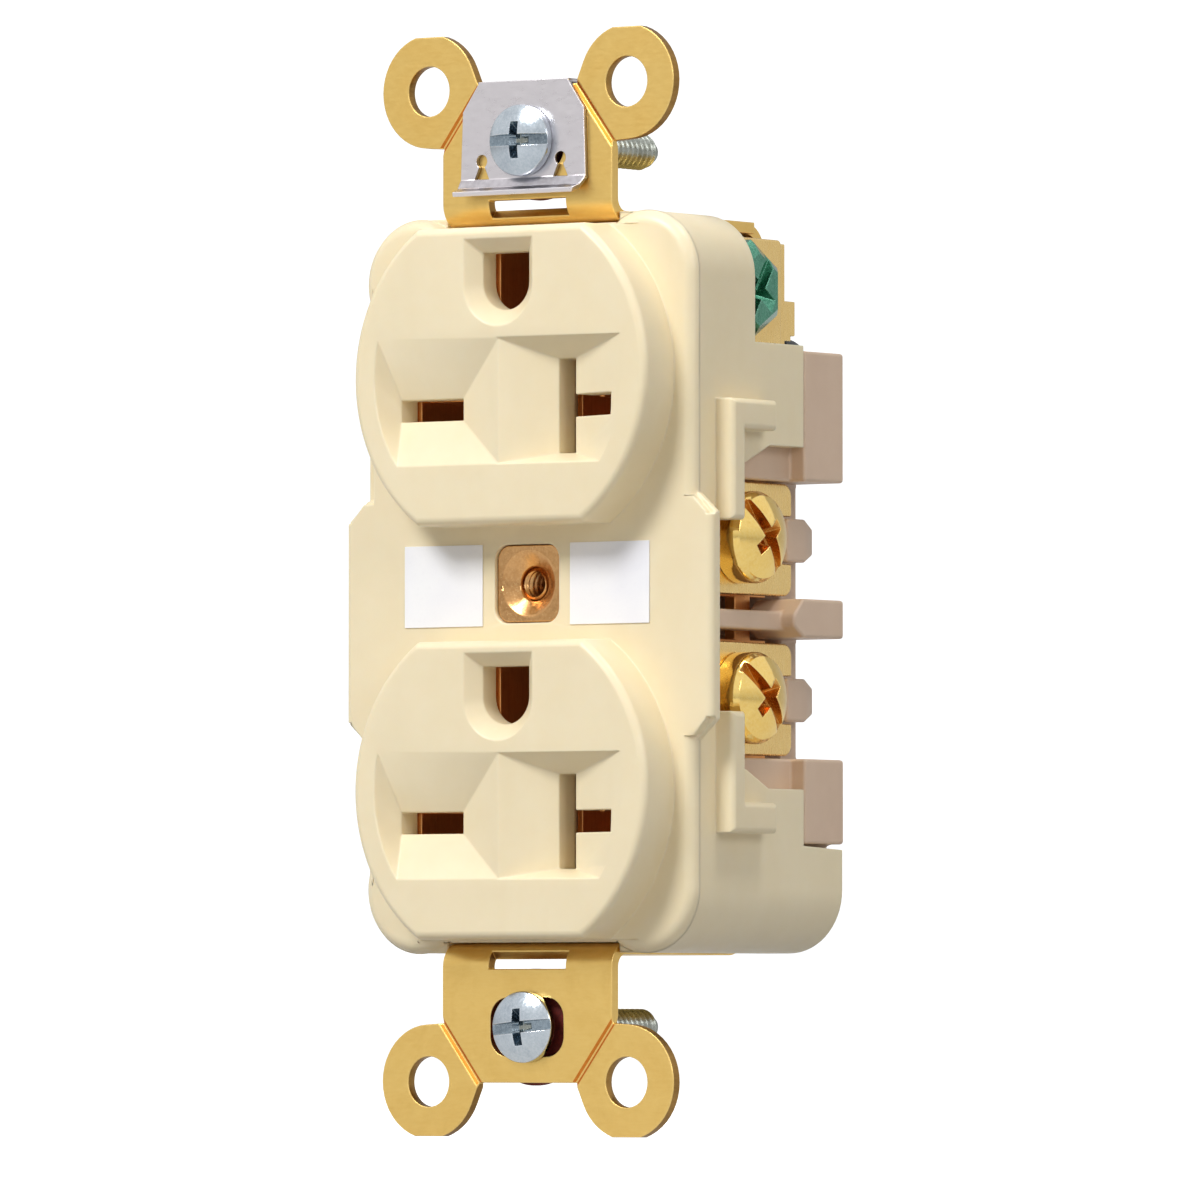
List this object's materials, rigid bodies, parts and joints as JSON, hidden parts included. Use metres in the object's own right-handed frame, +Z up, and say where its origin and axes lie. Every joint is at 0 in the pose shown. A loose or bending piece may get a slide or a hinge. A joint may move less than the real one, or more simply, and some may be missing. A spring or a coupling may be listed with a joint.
{
  "type": "duplex wall outlet",
  "caption": "Duplex wall outlet: two raised faces with T and flat blade slots and an earth opening, wrap-around brass strap and side screw terminals.",
  "frame": {"origin": "on the axis of the faceplate screw, in the front plane of the plaster ears", "axes": "+X to the right across the face, +Y into the wall, +Z up towards the earth openings' end with the self-grounding clip; the faces look along -Y"},
  "size_m": [0.0424, 0.0322, 0.104],
  "materials": {
    "ivory_nylon": "fine-textured moulded nylon, soft sheen",
    "tan_nylon": "moulded nylon, satin",
    "strap_brass": "lengthwise brushed sheet",
    "plate_brass": "tumbled sheet",
    "contact_brass": "rolled spring sheet",
    "bushing_brass": "turned, slightly toned",
    "terminal_brass": "bright, polished",
    "clip_steel": "nickel-coloured spring steel",
    "zinc_steel": "bright zinc plating",
    "black_steel": "black oxide",
    "green_screw": "green dyed plating",
    "red_fibre": "vulcanised fibre",
    "white_label": "smooth sticker film"
  },
  "bodies": {
    "root": {"front_cover": "ivory_nylon", "back_body": "tan_nylon", "mounting_strap": "strap_brass", "ground_clip": "clip_steel", "faceplate_bushing": "bushing_brass", "left_label": "white_label", "right_label": "white_label", "left_line_contact": "contact_brass", "right_line_contact": "contact_brass", "upper_ground_contact": "contact_brass", "lower_ground_contact": "contact_brass", "ground_terminal": "plate_brass", "ground_rivets": "strap_brass", "assembly_screws": "black_steel"},
    "upper_mount_screw": {"upper_mount_screw": "zinc_steel"},
    "lower_mount_screw": {"lower_mount_screw": "zinc_steel"},
    "upper_mount_washer": {"upper_mount_washer": "red_fibre"},
    "lower_mount_washer": {"lower_mount_washer": "red_fibre"},
    "ground_screw": {"ground_screw": "green_screw"},
    "ground_clamp": {"ground_clamp": "plate_brass"},
    "right_upper_screw": {"right_upper_screw": "terminal_brass"},
    "right_lower_screw": {"right_lower_screw": "terminal_brass"},
    "left_upper_screw": {"left_upper_screw": "terminal_brass"},
    "left_lower_screw": {"left_lower_screw": "terminal_brass"},
    "right_upper_clamp": {"right_upper_clamp": "plate_brass"},
    "right_lower_clamp": {"right_lower_clamp": "plate_brass"},
    "left_upper_clamp": {"left_upper_clamp": "plate_brass"},
    "left_lower_clamp": {"left_lower_clamp": "plate_brass"}
  },
  "joints": [
    {"name": "upper_mount_slide", "type": "slide", "parent": "root", "child": "upper_mount_washer", "axis": [1, 0, 0], "range_m": [-0.0014, 0.0014]},
    {"name": "upper_mount_turn", "type": "hinge", "parent": "upper_mount_washer", "child": "upper_mount_screw", "pos_m": [0, 0, 0.04167], "axis": [0, -1, 0], "continuous": true},
    {"name": "lower_mount_slide", "type": "slide", "parent": "root", "child": "lower_mount_washer", "axis": [1, 0, 0], "range_m": [-0.0024, 0.0024]},
    {"name": "lower_mount_turn", "type": "hinge", "parent": "lower_mount_washer", "child": "lower_mount_screw", "pos_m": [0, 0, -0.04167], "axis": [0, -1, 0], "continuous": true},
    {"name": "right_upper_clamp_slide", "type": "slide", "parent": "root", "child": "right_upper_clamp", "axis": [1, 0, 0], "range_m": [-0.0015, 0.001]},
    {"name": "right_upper_screw_turn", "type": "hinge", "parent": "right_upper_clamp", "child": "right_upper_screw", "pos_m": [0.0165, 0.0113, 0.0043], "axis": [1, 0, 0], "range_deg": [-690, 465]},
    {"name": "right_lower_clamp_slide", "type": "slide", "parent": "root", "child": "right_lower_clamp", "axis": [1, 0, 0], "range_m": [-0.0015, 0.001]},
    {"name": "right_lower_screw_turn", "type": "hinge", "parent": "right_lower_clamp", "child": "right_lower_screw", "pos_m": [0.0165, 0.0113, -0.0108], "axis": [1, 0, 0], "range_deg": [-690, 465]},
    {"name": "left_upper_clamp_slide", "type": "slide", "parent": "root", "child": "left_upper_clamp", "axis": [-1, 0, 0], "range_m": [-0.0015, 0.001]},
    {"name": "left_upper_screw_turn", "type": "hinge", "parent": "left_upper_clamp", "child": "left_upper_screw", "pos_m": [-0.0165, 0.0113, 0.0043], "axis": [-1, 0, 0], "range_deg": [-690, 465]},
    {"name": "left_lower_clamp_slide", "type": "slide", "parent": "root", "child": "left_lower_clamp", "axis": [-1, 0, 0], "range_m": [-0.0015, 0.001]},
    {"name": "left_lower_screw_turn", "type": "hinge", "parent": "left_lower_clamp", "child": "left_lower_screw", "pos_m": [-0.0165, 0.0113, -0.0108], "axis": [-1, 0, 0], "range_deg": [-690, 465]},
    {"name": "ground_clamp_slide", "type": "slide", "parent": "root", "child": "ground_clamp", "axis": [1, 0, 0], "range_m": [0, 0.0016]},
    {"name": "ground_screw_turn", "type": "hinge", "parent": "ground_clamp", "child": "ground_screw", "pos_m": [0.0141, 0.0144, 0.0278], "axis": [1, 0, 0], "range_deg": [-5, 735]}
  ],
  "couplings": [
    {"joint": "right_upper_screw_turn", "follows": "right_upper_clamp_slide", "rad_per_m": 7913.3},
    {"joint": "right_lower_screw_turn", "follows": "right_lower_clamp_slide", "rad_per_m": 7913.3},
    {"joint": "left_upper_screw_turn", "follows": "left_upper_clamp_slide", "rad_per_m": 7913.3},
    {"joint": "left_lower_screw_turn", "follows": "left_lower_clamp_slide", "rad_per_m": 7913.3},
    {"joint": "ground_screw_turn", "follows": "ground_clamp_slide", "rad_per_m": 7913.3}
  ]
}
